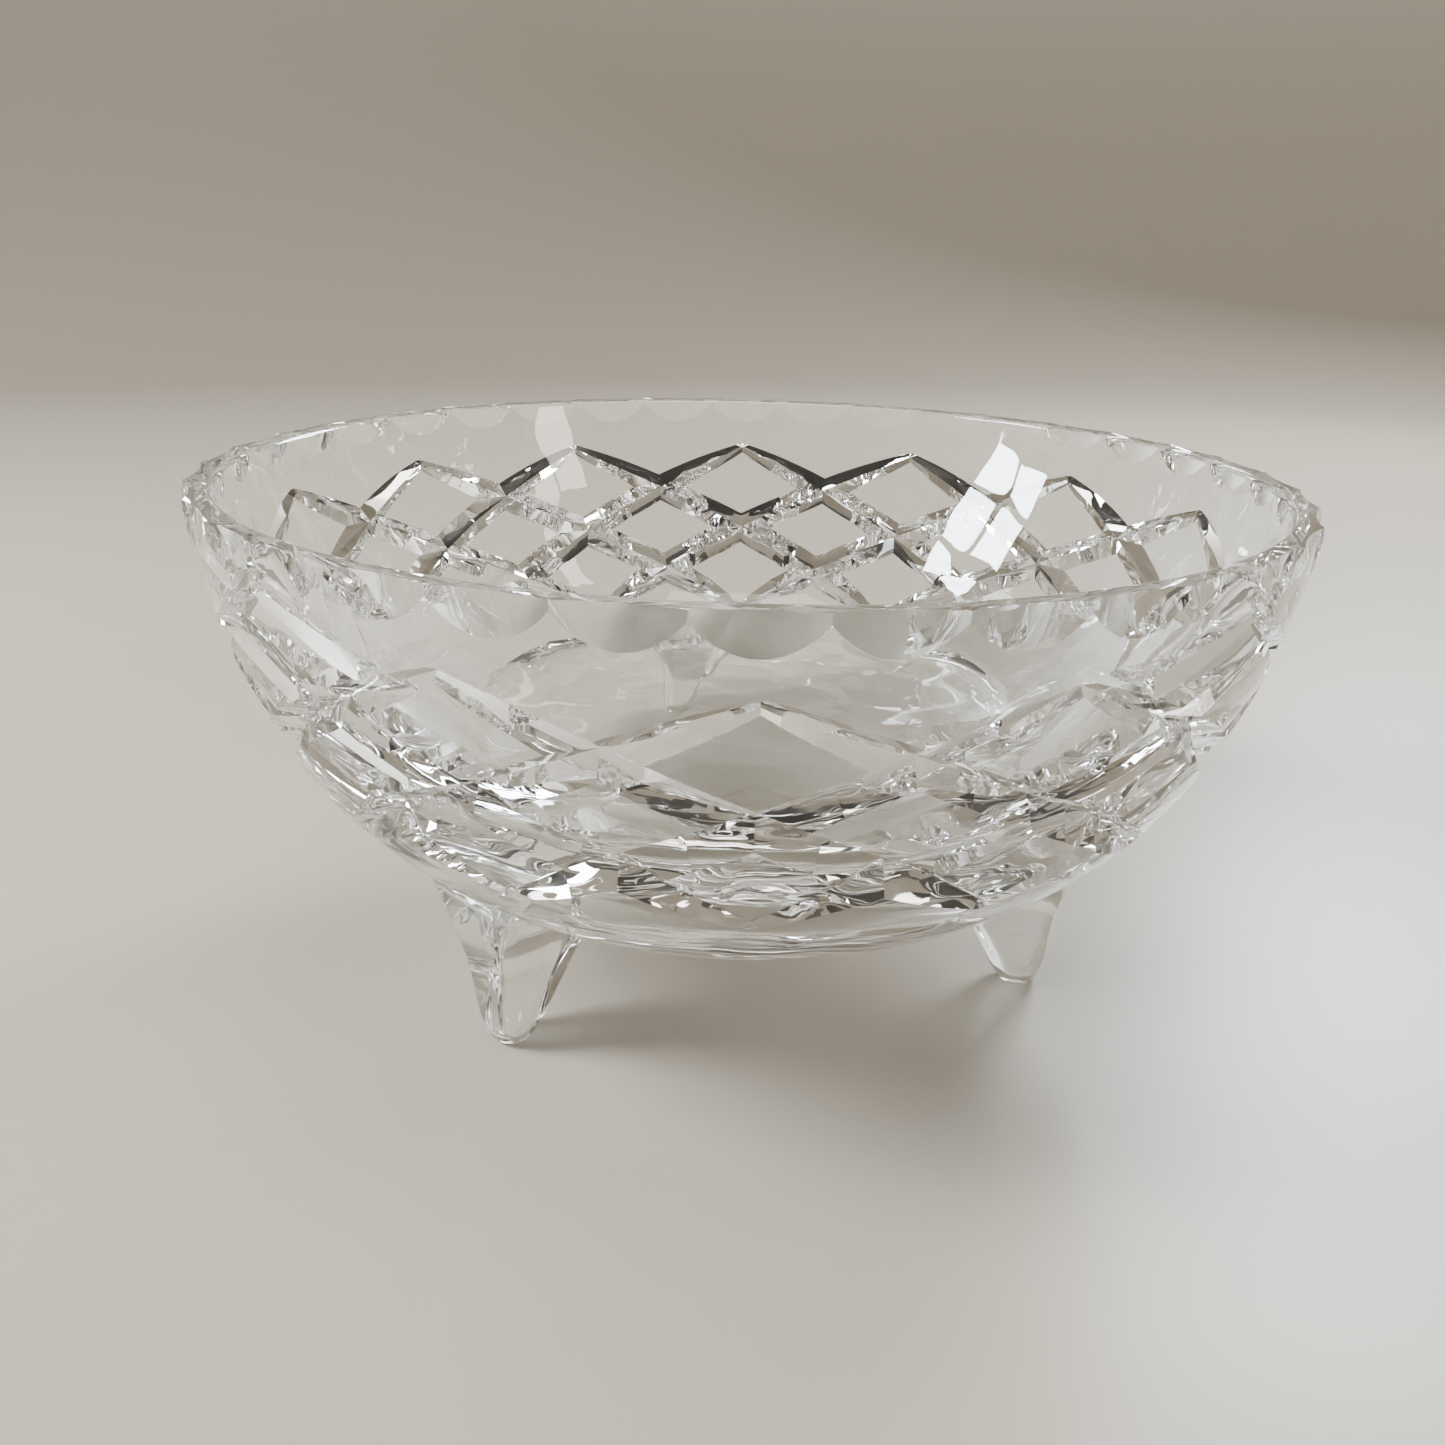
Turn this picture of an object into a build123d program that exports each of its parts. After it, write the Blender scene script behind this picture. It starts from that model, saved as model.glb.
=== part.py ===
import os
from math import asin, cos, degrees, pi, radians, sin, tan

from build123d import *

os.makedirs("parts", exist_ok=True)

# ---- driving sizes (mm, degrees) -------------------------------------------------------
# Origin on the table under the middle of the bowl, +Z up.

# bowl, outside
rim_height = 74.0            # table to the top of the rim
rim_radius = 75.7            # outside radius at the rim, before the scallops are cut
rim_lean = 5.7               # outside wall from vertical at the rim
upper_sweep_radius = 89.4    # outside arc from the rim to the shoulder
shoulder_lean = 26.1         # outside wall from vertical at the shoulder
base_lean = 60.7             # outside wall from vertical at the edge of the underside
base_height = 21.6           # table to the underside of the bowl
heel_rounding = 3.0          # rounding between the lower arc and the flat underside

# bowl, inside
rim_wall = 3.9               # glass thickness at the rim
inner_rim_lean = 13.5        # inside wall from vertical at the rim
inner_sweep_radius = 86.0    # inside arc from the rim to the inner shoulder
inner_shoulder_lean = 33.0   # inside wall from vertical at the inner shoulder
floor_thickness = 9.0        # glass under the inside floor
rim_rounding = 0.8           # rounding of the inner rim edge

# scallops cut round the outside of the rim
scallop_count = 36
scallop_turn = 1.0           # azimuth of the first scallop, from the front
scallop_drop = 4.6           # rim top to the lowest point of a scallop
scallop_bite = 1.3           # depth of a scallop at the rim top
scallop_cutter_radius = 31.0

# diamond lattice of V cuts
lattice_points = 14
lattice_turn = 1.3           # azimuth of the first top point, from the front
lattice_drop = 9.4           # rim top down to the top points
lattice_rise = 12.8          # underside up to the bottom points
lattice_rows = 4             # diamond half-rows between top and bottom points
upper_groove_depth = 2.5     # depth one row below the top points
lower_groove_depth = 3.2     # depth one row above the bottom points
groove_angle = 84.0          # angle between the two faces of a V cut
groove_tip_depth = 0.9       # depth left where two cuts meet at a point
groove_exit = 0.14           # rows past a point at which the cutter has left the glass
cutter_clear = 1.2           # how far the cutters stand clear of the glass

# feet
foot_count = 3
foot_turn = -44.1            # azimuth of the first foot, from the front
foot_inset = 2.6             # foot axis inside the edge of the underside
pad_length = 4.6             # flat ground pad, along the radius
pad_width = 3.8              # flat ground pad, across the radius
pad_corner = 1.6
tip_height = 1.3             # height of the rounded tip
tip_length = 6.4
tip_width = 5.2
tip_corner = 2.0
shank_height = 7.0
shank_length = 10.2
shank_width = 6.8
shank_corner = 1.3
shank_shift = -0.9           # middle of the shank inwards of the foot axis
flare_drop = 8.4             # where the flare begins, below the underside
flare_length = 14.6
flare_width = 8.8
flare_corner = 1.6
flare_shift = -2.2
root_length = 21.0           # foot at the level of the underside
root_width = 15.8
root_corner = 3.0
root_shift = -3.5
spread_rise = 5.6            # top of the flare, above the underside
spread_length = 28.0
spread_width = 23.0
spread_corner = 4.3
spread_shift = -5.2

# ---- derived sizes ---------------------------------------------------------------------
shoulder_radius = rim_radius - upper_sweep_radius * (cos(radians(rim_lean)) - cos(radians(shoulder_lean)))
shoulder_height = rim_height - upper_sweep_radius * (sin(radians(shoulder_lean)) - sin(radians(rim_lean)))
lower_sweep_radius = (shoulder_height - base_height) / (sin(radians(base_lean)) - sin(radians(shoulder_lean)))
base_radius = shoulder_radius - lower_sweep_radius * (cos(radians(shoulder_lean)) - cos(radians(base_lean)))

inner_rim_radius = rim_radius - rim_wall
inner_shoulder_radius = inner_rim_radius - inner_sweep_radius * (
    cos(radians(inner_rim_lean)) - cos(radians(inner_shoulder_lean))
)
inner_shoulder_height = rim_height - inner_sweep_radius * (
    sin(radians(inner_shoulder_lean)) - sin(radians(inner_rim_lean))
)
floor_height = base_height + floor_thickness
inner_lower_radius = (inner_shoulder_height - floor_height) / (1 - sin(radians(inner_shoulder_lean)))
floor_radius = inner_shoulder_radius - inner_lower_radius * cos(radians(inner_shoulder_lean))

foot_circle = base_radius - foot_inset


def outer_wall(height):
    """Outside radius and the wall's lean from vertical at a height."""
    if height >= shoulder_height:
        lean = asin(sin(radians(rim_lean)) + (rim_height - height) / upper_sweep_radius)
        radius = rim_radius - upper_sweep_radius * (cos(radians(rim_lean)) - cos(lean))
    else:
        lean = asin(sin(radians(shoulder_lean)) + (shoulder_height - height) / lower_sweep_radius)
        radius = shoulder_radius - lower_sweep_radius * (cos(radians(shoulder_lean)) - cos(lean))
    return radius, lean


def on_azimuth(radius, azimuth, height):
    """A point at an azimuth in degrees counted from the front (-Y) towards +X."""
    return Vector(radius * sin(radians(azimuth)), -radius * cos(radians(azimuth)), height)


def wall_point(azimuth, height):
    """Point on the outside wall and the outward direction there."""
    radius, lean = outer_wall(height)
    outward = on_azimuth(cos(lean), azimuth, 0) + Vector(0, 0, -sin(lean))
    return on_azimuth(radius, azimuth, height), outward


def mid_arc(top_r, top_z, sweep, lean_a, lean_b):
    """Middle point of a wall arc that starts at lean_a and ends at lean_b."""
    lean = (lean_a + lean_b) / 2
    return (
        top_r - sweep * (cos(radians(lean_a)) - cos(radians(lean))),
        top_z - sweep * (sin(radians(lean)) - sin(radians(lean_a))),
    )


# ---- blank: outside shape of the bowl, solid through -----------------------------------
with BuildPart() as blank:
    with BuildSketch(Plane.XZ):
        with BuildLine():
            Line((0, base_height), (base_radius, base_height))
            ThreePointArc(
                (base_radius, base_height),
                mid_arc(shoulder_radius, shoulder_height, lower_sweep_radius, shoulder_lean, base_lean),
                (shoulder_radius, shoulder_height),
            )
            ThreePointArc(
                (shoulder_radius, shoulder_height),
                mid_arc(rim_radius, rim_height, upper_sweep_radius, rim_lean, shoulder_lean),
                (rim_radius, rim_height),
            )
            Line((rim_radius, rim_height), (0, rim_height))
            Line((0, rim_height), (0, base_height))
        make_face()
    revolve(axis=Axis.Z)
    heel = blank.edges().filter_by(GeomType.CIRCLE).sort_by(Axis.Z)[0]
    fillet(heel, heel_rounding)

# ---- cavity ----------------------------------------------------------------------------
with BuildPart() as cavity:
    with BuildSketch(Plane.XZ):
        with BuildLine():
            Line((0, floor_height), (floor_radius, floor_height))
            ThreePointArc(
                (floor_radius, floor_height),
                mid_arc(inner_shoulder_radius, inner_shoulder_height, inner_lower_radius, inner_shoulder_lean, 90),
                (inner_shoulder_radius, inner_shoulder_height),
            )
            ThreePointArc(
                (inner_shoulder_radius, inner_shoulder_height),
                mid_arc(inner_rim_radius, rim_height, inner_sweep_radius, inner_rim_lean, inner_shoulder_lean),
                (inner_rim_radius, rim_height),
            )
            Line((inner_rim_radius, rim_height), (inner_rim_radius, rim_height + 5))
            Line((inner_rim_radius, rim_height + 5), (0, rim_height + 5))
            Line((0, rim_height + 5), (0, floor_height))
        make_face()
    revolve(axis=Axis.Z)

# ---- cutters ---------------------------------------------------------------------------
# Each scallop is a round cutter leaning outwards going down, so its bite fades to nothing
# at the lowest point of the scallop.
fade_radius = outer_wall(rim_height - scallop_drop)[0]
scallop_lean = degrees(asin((fade_radius - (rim_radius - scallop_bite)) / scallop_drop))
scallop_length = 16.0
with BuildPart() as scallop:
    start = Vector(0, -(rim_radius - scallop_bite), rim_height)
    down = Vector(0, -sin(radians(scallop_lean)), -cos(radians(scallop_lean)))
    out = Vector(0, -cos(radians(scallop_lean)), sin(radians(scallop_lean)))
    middle = start + out * scallop_cutter_radius - down * (scallop_length / 2)
    with BuildSketch(Plane(origin=middle, x_dir=(1, 0, 0), z_dir=down)):
        Circle(scallop_cutter_radius)
    extrude(amount=scallop_length)

# The rows of the lattice run from 0 at the top points to lattice_rows at the bottom points.
lattice_top = rim_height - lattice_drop
lattice_bottom = base_height + lattice_rise
row_step = (lattice_top - lattice_bottom) / lattice_rows
half_pitch = 180 / lattice_points


def cut_depth(row):
    """Depth of a V cut at a row: it grows down the wall and eases out towards both points."""
    down = min(max((row - 1) / (lattice_rows - 2), 0), 1)
    full = upper_groove_depth + down * (lower_groove_depth - upper_groove_depth)
    to_point = min(row, lattice_rows - row)
    if to_point < 0:
        return -groove_tip_depth
    ease = sin(pi / 2 * min(to_point, 1))
    return groove_tip_depth + ease * (full - groove_tip_depth)


stations = [-groove_exit] + [k / 2 for k in range(2 * lattice_rows + 1)] + [lattice_rows + groove_exit]


def groove_cutter(azimuth, hand):
    """V-shaped bar following the wall from a top point down to a bottom point."""
    sections = []
    for way in stations:
        depth = cut_depth(way)
        here, outward = wall_point(azimuth + hand * way * half_pitch, lattice_top - way * row_step)
        step = 0.02
        ahead = wall_point(azimuth + hand * (way + step) * half_pitch, lattice_top - (way + step) * row_step)[0]
        behind = wall_point(azimuth + hand * (way - step) * half_pitch, lattice_top - (way - step) * row_step)[0]
        along = (ahead - behind).normalized()
        across = along.cross(outward).normalized()
        half_top = (depth + cutter_clear) * tan(radians(groove_angle / 2))
        sections.append(
            Wire.make_polygon(
                [
                    here - outward * depth,
                    here + outward * cutter_clear + across * half_top,
                    here + outward * cutter_clear - across * half_top,
                ]
            )
        )
    return Solid.make_loft(sections, True)


groove_cutters = []
for k in range(lattice_points):
    top_azimuth = lattice_turn + k * 360 / lattice_points
    groove_cutters.append(groove_cutter(top_azimuth, 1))
    groove_cutters.append(groove_cutter(top_azimuth, -1))

# ---- the bowl --------------------------------------------------------------------------
with BuildPart() as bowl:
    add(blank.part)
    add(cavity.part, mode=Mode.SUBTRACT)
    inner_edge = bowl.edges().filter_by(GeomType.CIRCLE).group_by(Axis.Z)[-1].sort_by(SortBy.RADIUS)[0]
    fillet(inner_edge, rim_rounding)
    for k in range(scallop_count):
        turn = scallop_turn + k * 360 / scallop_count
        add(scallop.part.rotate(Axis.Z, turn), mode=Mode.SUBTRACT)
    for hand in (0, 1):
        for cutter in groove_cutters[hand::2]:
            add(cutter, mode=Mode.SUBTRACT)
bowl.part.label = "bowl"
export_step(bowl.part, "parts/bowl.step")

# ---- the feet --------------------------------------------------------------------------
foot_levels = [
    (0.0, pad_length, pad_width, pad_corner, 0.0),
    (tip_height, tip_length, tip_width, tip_corner, 0.0),
    (shank_height, shank_length, shank_width, shank_corner, shank_shift),
    (base_height - flare_drop, flare_length, flare_width, flare_corner, flare_shift),
    (base_height, root_length, root_width, root_corner, root_shift),
    (base_height + spread_rise, spread_length, spread_width, spread_corner, spread_shift),
]


def foot(azimuth):
    """One solid foot, its top cut to lie against the outside of the bowl."""
    with BuildPart() as one:
        for level, length, width, corner, shift in foot_levels:
            middle = on_azimuth(foot_circle + shift, azimuth, level)
            outwards = on_azimuth(1, azimuth, 0)
            with BuildSketch(Plane(origin=middle, x_dir=outwards, z_dir=(0, 0, 1))):
                RectangleRounded(length, width, corner)
        loft()
        add(blank.part, mode=Mode.SUBTRACT)
    return one.part


foot_names = ["front_left_foot", "right_foot", "rear_foot"]
for k in range(foot_count):
    piece = foot(foot_turn + k * 360 / foot_count)
    piece.label = foot_names[k]
    export_step(piece, f"parts/{foot_names[k]}.step")
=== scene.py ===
"""Footed cut-crystal bowl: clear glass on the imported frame, a plain pale floor and soft light."""
import math

import bmesh
import bpy
from mathutils import Matrix, Vector


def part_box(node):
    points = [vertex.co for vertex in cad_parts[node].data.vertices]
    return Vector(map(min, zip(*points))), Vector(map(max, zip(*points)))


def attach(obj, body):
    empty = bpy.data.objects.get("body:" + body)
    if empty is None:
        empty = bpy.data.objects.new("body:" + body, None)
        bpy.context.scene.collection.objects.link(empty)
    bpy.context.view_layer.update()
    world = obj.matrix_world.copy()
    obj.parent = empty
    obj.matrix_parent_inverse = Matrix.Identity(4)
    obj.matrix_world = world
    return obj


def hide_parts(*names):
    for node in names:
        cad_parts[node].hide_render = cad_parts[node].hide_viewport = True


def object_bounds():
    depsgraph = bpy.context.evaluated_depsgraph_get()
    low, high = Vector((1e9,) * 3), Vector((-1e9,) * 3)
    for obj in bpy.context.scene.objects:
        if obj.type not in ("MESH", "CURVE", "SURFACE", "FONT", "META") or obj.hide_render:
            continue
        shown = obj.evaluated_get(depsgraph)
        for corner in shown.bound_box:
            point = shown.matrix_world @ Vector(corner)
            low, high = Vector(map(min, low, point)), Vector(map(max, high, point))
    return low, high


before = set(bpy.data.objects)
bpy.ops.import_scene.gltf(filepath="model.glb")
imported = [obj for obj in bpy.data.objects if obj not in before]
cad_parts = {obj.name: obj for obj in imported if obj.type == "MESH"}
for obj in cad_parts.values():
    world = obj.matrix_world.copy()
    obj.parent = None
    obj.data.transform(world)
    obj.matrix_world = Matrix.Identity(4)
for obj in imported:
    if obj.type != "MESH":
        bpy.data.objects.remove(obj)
cad_box = [list(corner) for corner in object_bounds()]

# Sizes and places are in metres, lamp strengths in watts, and angles in degrees unless a
# comment says otherwise.
RIM_HEIGHT = cad_box[1][2]
BOWL_MIDDLE = (0, 0, RIM_HEIGHT / 2)
FEET = ("front_left_foot", "right_foot", "rear_foot")

# Crystal.
CRYSTAL_IOR = 1.545
CRYSTAL_TINT = (0.985, 0.993, 0.99, 1.0)

# Its surface. Scales are noise cells per metre, and FROM and FULL are noise levels.
HAZE_SCALE = 300.0
HAZE_DETAIL = 5.0
HAZE_FROM = 0.48
HAZE_FULL = 0.78
HAZE_ROUGHNESS = 0.04
SCRATCH_SCALE = 90.0
SCRATCH_DETAIL = 2.0
SCRATCH_TURN = (0.3, 0.5, 0.8)            # radians
SCRATCH_NARROWING = (1.0, 14.0, 14.0)     # how much finer the noise is across a scratch
SCRATCH_FROM = 0.70
SCRATCH_FULL = 0.74
SCRATCH_ROUGHNESS = 0.12
PAD_WEAR = 0.0007                         # height up to which the ground pads are rough
PAD_FULL_SHARE = 0.3                      # part of that height with the full roughness
PAD_ROUGHNESS = 0.35
WAVE_SCALE = 75.0
WAVE_DETAIL = 0.0
WAVE_DISTORTION = 0.6
WAVE_HEIGHT = 0.0007
WAVE_STRENGTH = 0.3

# A foot is fused to the bowl: its seat reaches this far into the bowl's glass, so that light
# passes the joint without bending, as it does in one piece of glass.
SEAT_DEPTH = 0.00008
SAME_PLACE = 0.000001                     # points nearer than this are one point
EDGE_ANGLE = 28.0                         # edges that turn more than this are sharp

# Camera.
CAMERA_BACK = 0.197662
CAMERA_ABOVE_RIM = 0.034310
CAMERA_PITCH = 20.203
CAMERA_YAW = 0.8766
CAMERA_ROLL = 1.444
LENS = 34.879                             # millimetres
SENSOR = 36.0                             # millimetres
CLIP_NEAR = 0.01
CLIP_FAR = 20

# Light turns many times inside thick cut glass before it leaves.
GLASS_BOUNCES = 40
CONTRAST_LOOK = "AgX - Medium High Contrast"

# Floor that sweeps up into a wall.
FLOOR_COLOUR = (0.42, 0.37, 0.30, 1.0)
FLOOR_ROUGHNESS = 0.4
FLOOR_GAP = 0.00005                       # between the floor and the foot pads
FLAT_RADIUS = 0.75
SWEEP_RADIUS = 0.45
WALL_TOP = 0.75
SWEEP_STEPS = 16
SWEEP_SIDES = 128

# Room light, from the horizon to overhead. The two levels are sines of the height above the
# horizon: the first colour ends at the lower one and the second starts at the upper one.
ROOM_HORIZON = (0.22, 0.205, 0.185, 1.0)
ROOM_ZENITH = (0.05, 0.047, 0.043, 1.0)
ROOM_LOWER_LEVEL = 0.05
ROOM_UPPER_LEVEL = 0.75
ROOM_STRENGTH = 1.0

# Lamps. The watts of a window are those of each pane.
DAYLIGHT = (0.86, 0.93, 1.0)
LAMPLIGHT = (1.0, 0.95, 0.88)
WINDOW_LEFT = dict(place=(-0.68, -0.12, 0.55), columns=2, rows=3, pane=0.12, gap=0.018, watts=2.6)
WINDOW_BACK = dict(place=(0.40, 0.58, 0.45), columns=2, rows=2, pane=0.10, gap=0.016, watts=1.5)
SOFTBOX_ABOVE = dict(place=(0.0, 0.05, 1.3), target=(0, 0, 0), width=0.6, height=0.6, watts=4)
SOFTBOX_RIGHT = dict(place=(0.7, -0.45, 0.40), target=BOWL_MIDDLE, width=0.10, height=0.42, watts=1.3)


def add_node(tree, kind, **sockets):
    """One shader node with its named input sockets set. An underscore stands for a space."""
    node = tree.nodes.new(kind)
    for name, value in sockets.items():
        node.inputs[name.replace("_", " ")].default_value = value
    return node


def new_material(name, **sockets):
    """A material with only an output and a Principled shader that has these sockets set."""
    material = bpy.data.materials.new(name)
    material.use_nodes = True
    tree = material.node_tree
    tree.nodes.clear()
    output = add_node(tree, "ShaderNodeOutputMaterial")
    shader = add_node(tree, "ShaderNodeBsdfPrincipled", **sockets)
    tree.links.new(shader.outputs["BSDF"], output.inputs["Surface"])
    return material, shader


def map_range(tree, source, from_low, from_high, to_low, to_high):
    """A clamped linear map of one node output."""
    node = add_node(
        tree, "ShaderNodeMapRange", From_Min=from_low, From_Max=from_high, To_Min=to_low, To_Max=to_high
    )
    tree.links.new(source, node.inputs["Value"])
    return node.outputs["Result"]


def larger(tree, one, other):
    """The larger of two node outputs."""
    node = add_node(tree, "ShaderNodeMath")
    node.operation = "MAXIMUM"
    tree.links.new(one, node.inputs[0])
    tree.links.new(other, node.inputs[1])
    return node.outputs["Value"]


def haze_level(tree, place):
    """Roughness of the faint haze that polishing leaves."""
    haze = add_node(tree, "ShaderNodeTexNoise", Scale=HAZE_SCALE, Detail=HAZE_DETAIL)
    tree.links.new(place, haze.inputs["Vector"])
    return map_range(tree, haze.outputs["Fac"], HAZE_FROM, HAZE_FULL, 0.0, HAZE_ROUGHNESS)


def scratch_level(tree, place):
    """Roughness of fine scratches from use, which all run one way."""
    stretch = add_node(tree, "ShaderNodeMapping", Rotation=SCRATCH_TURN, Scale=SCRATCH_NARROWING)
    tree.links.new(place, stretch.inputs["Vector"])
    scratch = add_node(tree, "ShaderNodeTexNoise", Scale=SCRATCH_SCALE, Detail=SCRATCH_DETAIL)
    tree.links.new(stretch.outputs["Vector"], scratch.inputs["Vector"])
    return map_range(tree, scratch.outputs["Fac"], SCRATCH_FROM, SCRATCH_FULL, 0.0, SCRATCH_ROUGHNESS)


def pad_level(tree, place):
    """Roughness of the ground pads under the feet."""
    height = add_node(tree, "ShaderNodeSeparateXYZ")
    tree.links.new(place, height.inputs["Vector"])
    return map_range(tree, height.outputs["Z"], PAD_WEAR * PAD_FULL_SHARE, PAD_WEAR, PAD_ROUGHNESS, 0.0)


def wavy_normal(tree, place):
    """The slow waviness of a surface finished by hand."""
    wave = add_node(
        tree, "ShaderNodeTexNoise", Scale=WAVE_SCALE, Detail=WAVE_DETAIL, Distortion=WAVE_DISTORTION
    )
    tree.links.new(place, wave.inputs["Vector"])
    bump = add_node(tree, "ShaderNodeBump", Strength=WAVE_STRENGTH, Distance=WAVE_HEIGHT)
    tree.links.new(wave.outputs["Fac"], bump.inputs["Height"])
    return bump.outputs["Normal"]


def crystal():
    """Clear lead crystal with haze, scratches, ground pads and waviness."""
    material, shader = new_material(
        "crystal", Base_Color=CRYSTAL_TINT, IOR=CRYSTAL_IOR, Transmission_Weight=1.0
    )
    tree = material.node_tree
    place = add_node(tree, "ShaderNodeTexCoord").outputs["Object"]
    worn = larger(tree, haze_level(tree, place), scratch_level(tree, place))
    tree.links.new(larger(tree, worn, pad_level(tree, place)), shader.inputs["Roughness"])
    tree.links.new(wavy_normal(tree, place), shader.inputs["Normal"])
    return material


def glass_bowl(glass):
    """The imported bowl, in crystal."""
    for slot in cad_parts["bowl"].material_slots:
        slot.link = "OBJECT"
        slot.material = glass


def fused_foot(node_name, glass):
    """The foot that stands for a CAD node: its shape, with the seat pushed into the bowl."""
    mesh = bpy.data.meshes.new(node_name + "_glass")
    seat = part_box("bowl")[0].z - SAME_PLACE
    work = bmesh.new()
    work.from_mesh(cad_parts[node_name].data)
    bmesh.ops.remove_doubles(work, verts=work.verts, dist=SAME_PLACE)
    bmesh.ops.recalc_face_normals(work, faces=work.faces)
    for vert in work.verts:
        if vert.co.z >= seat:
            vert.co.z += SEAT_DEPTH
    work.to_mesh(mesh)
    work.free()
    mesh.shade_smooth()
    mesh.set_sharp_from_angle(angle=math.radians(EDGE_ANGLE))
    mesh.materials.append(glass)
    foot = bpy.data.objects.new(node_name + "_glass", mesh)
    bpy.context.scene.collection.objects.link(foot)
    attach(foot, "root")
    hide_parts(node_name)


def add_floor():
    """A flat round floor that sweeps up into a low wall all round, so that no view has a hard horizon."""
    profile = [(FLAT_RADIUS, 0.0)]
    for k in range(1, SWEEP_STEPS + 1):
        turn = math.pi / 2 * k / SWEEP_STEPS
        profile.append((FLAT_RADIUS + SWEEP_RADIUS * math.sin(turn), SWEEP_RADIUS * (1 - math.cos(turn))))
    profile.append((FLAT_RADIUS + SWEEP_RADIUS, WALL_TOP))
    count = len(profile)
    points = [(0, 0, 0)]
    faces = []
    for k in range(SWEEP_SIDES):
        turn = 2 * math.pi * k / SWEEP_SIDES
        points += [(r * math.cos(turn), r * math.sin(turn), z) for r, z in profile]
        here, after = 1 + k * count, 1 + (k + 1) % SWEEP_SIDES * count
        faces.append((0, here, after))
        faces += [(here + i, here + i + 1, after + i + 1, after + i) for i in range(count - 1)]
    mesh = bpy.data.meshes.new("floor")
    mesh.from_pydata(points, [], faces)
    mesh.shade_smooth()
    material, _ = new_material("pale_floor", Base_Color=FLOOR_COLOUR, Roughness=FLOOR_ROUGHNESS)
    mesh.materials.append(material)
    floor = bpy.data.objects.new("floor", mesh)
    floor.location.z = -FLOOR_GAP
    bpy.context.scene.collection.objects.link(floor)


def add_camera():
    """The camera: in front of the bowl and above its rim, looking down, and slightly tilted."""
    pitch, yaw, roll = (math.radians(a) for a in (CAMERA_PITCH, CAMERA_YAW, CAMERA_ROLL))
    forward = Vector((-math.sin(yaw) * math.cos(pitch), math.cos(yaw) * math.cos(pitch), -math.sin(pitch)))
    level = Vector((math.cos(yaw), math.sin(yaw), 0))
    upright = level.cross(forward)
    right = math.cos(roll) * level + math.sin(roll) * upright
    up = math.cos(roll) * upright - math.sin(roll) * level
    data = bpy.data.cameras.new("camera")
    data.lens = LENS
    data.sensor_width = SENSOR
    data.clip_start = CLIP_NEAR
    data.clip_end = CLIP_FAR
    camera = bpy.data.objects.new("camera", data)
    turn = Matrix((right, up, -forward)).transposed()
    place = Vector((0, -CAMERA_BACK, RIM_HEIGHT + CAMERA_ABOVE_RIM))
    camera.matrix_world = Matrix.Translation(place) @ turn.to_4x4()
    bpy.context.scene.collection.objects.link(camera)
    bpy.context.scene.camera = camera


def add_world():
    """Room light that is pale at the horizon and dark overhead, like a room with windows."""
    world = bpy.data.worlds.new("room")
    world.use_nodes = True
    tree = world.node_tree
    background = tree.nodes["Background"]
    place = add_node(tree, "ShaderNodeTexCoord")
    split = add_node(tree, "ShaderNodeSeparateXYZ")
    ramp = add_node(tree, "ShaderNodeValToRGB")
    ramp.color_ramp.interpolation = "EASE"
    lower, upper = ramp.color_ramp.elements
    lower.color, lower.position = ROOM_HORIZON, ROOM_LOWER_LEVEL
    upper.color, upper.position = ROOM_ZENITH, ROOM_UPPER_LEVEL
    tree.links.new(place.outputs["Generated"], split.inputs["Vector"])
    tree.links.new(split.outputs["Z"], ramp.inputs["Fac"])
    tree.links.new(ramp.outputs["Color"], background.inputs["Color"])
    background.inputs["Strength"].default_value = ROOM_STRENGTH
    bpy.context.scene.world = world


def add_light(name, place, target, width, height, watts, colour):
    """A soft rectangular lamp at place that faces target."""
    data = bpy.data.lights.new(name, "AREA")
    data.shape = "RECTANGLE"
    data.size = width
    data.size_y = height
    data.energy = watts
    data.color = colour
    lamp = bpy.data.objects.new(name, data)
    lamp.location = place
    lamp.rotation_mode = "QUATERNION"
    lamp.rotation_quaternion = (Vector(target) - Vector(place)).to_track_quat("-Z", "Y")
    bpy.context.scene.collection.objects.link(lamp)


def add_window(name, place, target, columns, rows, pane, gap, watts):
    """A window made of soft square lamps with gaps between them, which gives paned highlights."""
    place, target = Vector(place), Vector(target)
    turn = (target - place).to_track_quat("-Z", "Y")
    across, up = turn @ Vector((1, 0, 0)), turn @ Vector((0, 1, 0))
    for column in range(columns):
        for row in range(rows):
            shift = across * (column - (columns - 1) / 2) + up * (row - (rows - 1) / 2)
            spot = place + shift * (pane + gap)
            add_light(f"{name}_{column}_{row}", spot, spot + target - place, pane, pane, watts, DAYLIGHT)


def set_light_paths():
    """Let light turn often enough to leave thick cut glass, and give the picture its contrast."""
    cycles = bpy.context.scene.cycles
    cycles.max_bounces = GLASS_BOUNCES
    cycles.transmission_bounces = GLASS_BOUNCES
    cycles.glossy_bounces = GLASS_BOUNCES
    bpy.context.scene.view_settings.look = CONTRAST_LOOK


glass = crystal()
glass_bowl(glass)
for foot_name in FEET:
    fused_foot(foot_name, glass)

add_floor()
add_camera()
add_world()
set_light_paths()
add_window("window_left", target=BOWL_MIDDLE, **WINDOW_LEFT)
add_window("window_back", target=BOWL_MIDDLE, **WINDOW_BACK)
add_light("softbox_above", colour=LAMPLIGHT, **SOFTBOX_ABOVE)
add_light("softbox_right", colour=LAMPLIGHT, **SOFTBOX_RIGHT)
